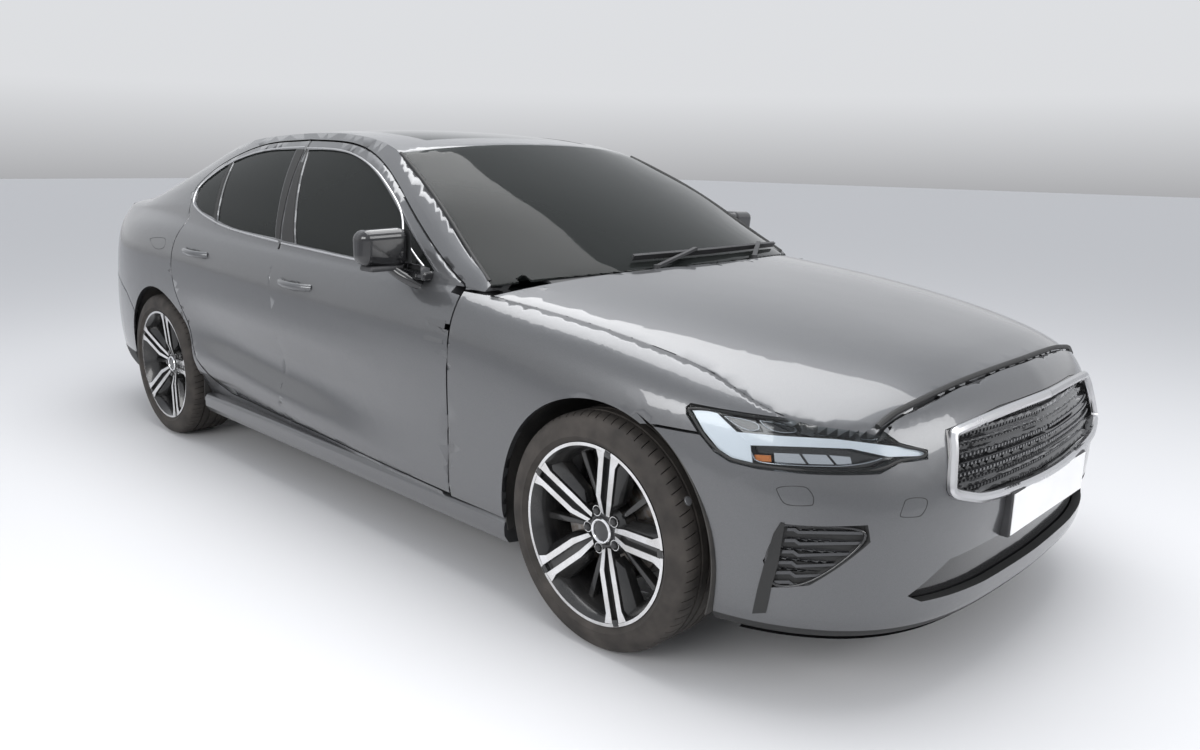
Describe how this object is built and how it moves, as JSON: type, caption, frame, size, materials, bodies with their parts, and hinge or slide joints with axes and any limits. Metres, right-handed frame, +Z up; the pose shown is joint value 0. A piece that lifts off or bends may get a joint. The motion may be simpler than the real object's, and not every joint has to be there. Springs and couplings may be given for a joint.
{
  "type": "sedan car",
  "caption": "Sedan car with a hollow cabin, opening doors, bonnet and boot lid, steered front wheels and rolling wheels.",
  "frame": {"origin": "on the ground, at the middle of the car's bounding box", "axes": "+X to the front of the car, +Y to its left, +Z up"},
  "size_m": [4.7679, 2.056, 1.4316],
  "materials": {
    "paint": "metallic gloss",
    "window_glass": "tinted",
    "headlamp_lens": "clear",
    "tail_lamp_lens": "red",
    "bright_trim": "satin",
    "black_plastic": "satin",
    "floor_metal": "matt",
    "seat_cover": "matt",
    "dash_plastic": "matt",
    "wheel_rim_grip": "satin",
    "engine_metal": "cast",
    "tank_plastic": "matt",
    "exhaust_steel": "dull",
    "chassis_metal": "matt",
    "knuckle_metal": "cast",
    "rim_alloy": "machined and painted",
    "tyre_rubber": "matt"
  },
  "bodies": {
    "body": {"body_side_right": "paint", "body_side_left": "paint", "front_wing_right": "paint", "front_wing_left": "paint", "front_bumper": "paint", "rear_bumper": "paint", "roof_panel": "paint", "door_posts_right": "paint", "door_posts_left": "paint", "windscreen": "window_glass", "rear_window": "window_glass", "roof_glass": "window_glass", "headlamps": "headlamp_lens", "tail_lamps": "tail_lamp_lens", "grille": "bright_trim", "bumper_trim": "black_plastic", "cowl_panel": "black_plastic", "wipers": "black_plastic", "wheel_liners": "black_plastic", "floor_pan": "floor_metal", "seats": "seat_cover", "dashboard": "dash_plastic", "rear_shelf": "dash_plastic", "engine_block": "engine_metal", "fuel_tank": "tank_plastic", "exhaust": "exhaust_steel", "front_subframe": "chassis_metal", "rear_subframe": "chassis_metal"},
    "door_front_right": {"front_door_right": "paint", "front_door_glass_right": "window_glass"},
    "door_front_left": {"front_door_left": "paint", "front_door_glass_left": "window_glass"},
    "door_rear_right": {"rear_door_right": "paint", "rear_door_glass_right": "window_glass"},
    "door_rear_left": {"rear_door_left": "paint", "rear_door_glass_left": "window_glass"},
    "bonnet_lid": {"bonnet": "paint"},
    "boot": {"boot_lid": "paint"},
    "steering": {"steering_wheel": "wheel_rim_grip"},
    "upright_right": {"knuckle_right": "knuckle_metal"},
    "upright_left": {"knuckle_left": "knuckle_metal"},
    "wheel_front_right": {"rim_front_right": "rim_alloy", "tyre_front_right": "tyre_rubber"},
    "wheel_front_left": {"rim_front_left": "rim_alloy", "tyre_front_left": "tyre_rubber"},
    "wheel_rear_right": {"rim_rear_right": "rim_alloy", "tyre_rear_right": "tyre_rubber"},
    "wheel_rear_left": {"rim_rear_left": "rim_alloy", "tyre_rear_left": "tyre_rubber"}
  },
  "joints": [
    {"name": "front_right_door_hinge", "type": "hinge", "parent": "body", "child": "door_front_right", "pos_m": [0.818, -0.9, 0.6], "axis": [0, 0, 1], "range_deg": [0, 68]},
    {"name": "front_left_door_hinge", "type": "hinge", "parent": "body", "child": "door_front_left", "pos_m": [0.818, 0.9, 0.6], "axis": [0, 0, -1], "range_deg": [0, 68]},
    {"name": "rear_right_door_hinge", "type": "hinge", "parent": "body", "child": "door_rear_right", "pos_m": [-0.259, -0.907, 0.6], "axis": [0, 0, 1], "range_deg": [0, 68]},
    {"name": "rear_left_door_hinge", "type": "hinge", "parent": "body", "child": "door_rear_left", "pos_m": [-0.259, 0.907, 0.6], "axis": [0, 0, -1], "range_deg": [0, 68]},
    {"name": "bonnet_hinge", "type": "hinge", "parent": "body", "child": "bonnet_lid", "pos_m": [1, 0, 0.905], "axis": [0, -1, 0], "range_deg": [0, 50]},
    {"name": "boot_lid_hinge", "type": "hinge", "parent": "body", "child": "boot", "pos_m": [-1.797, 0, 1.106], "axis": [0, 1, 0], "range_deg": [0, 72]},
    {"name": "steer_right", "type": "hinge", "parent": "body", "child": "upright_right", "pos_m": [1.53, -0.76, 0.19], "axis": [0, 0.1999, 0.9798], "range_deg": [-35, 35]},
    {"name": "steer_left", "type": "hinge", "parent": "body", "child": "upright_left", "pos_m": [1.53, 0.76, 0.19], "axis": [0, -0.1999, 0.9798], "range_deg": [-35, 35]},
    {"name": "steering_wheel_turn", "type": "hinge", "parent": "body", "child": "steering", "pos_m": [0.52, -0.37, 0.85], "axis": [-0.9135, 0, 0.4067], "range_deg": [-490, 490]},
    {"name": "wheel_spin_front_right", "type": "hinge", "parent": "upright_right", "child": "wheel_front_right", "pos_m": [1.53, -0.801, 0.335], "axis": [0, 1, 0], "continuous": true},
    {"name": "wheel_spin_front_left", "type": "hinge", "parent": "upright_left", "child": "wheel_front_left", "pos_m": [1.53, 0.801, 0.335], "axis": [0, 1, 0], "continuous": true},
    {"name": "wheel_spin_rear_right", "type": "hinge", "parent": "body", "child": "wheel_rear_right", "pos_m": [-1.342, -0.801, 0.335], "axis": [0, 1, 0], "continuous": true},
    {"name": "wheel_spin_rear_left", "type": "hinge", "parent": "body", "child": "wheel_rear_left", "pos_m": [-1.342, 0.801, 0.335], "axis": [0, 1, 0], "continuous": true}
  ],
  "couplings": [
    {"joint": "steer_left", "follows": "steer_right", "ratio": 1},
    {"joint": "steering_wheel_turn", "follows": "steer_right", "ratio": 14}
  ]
}
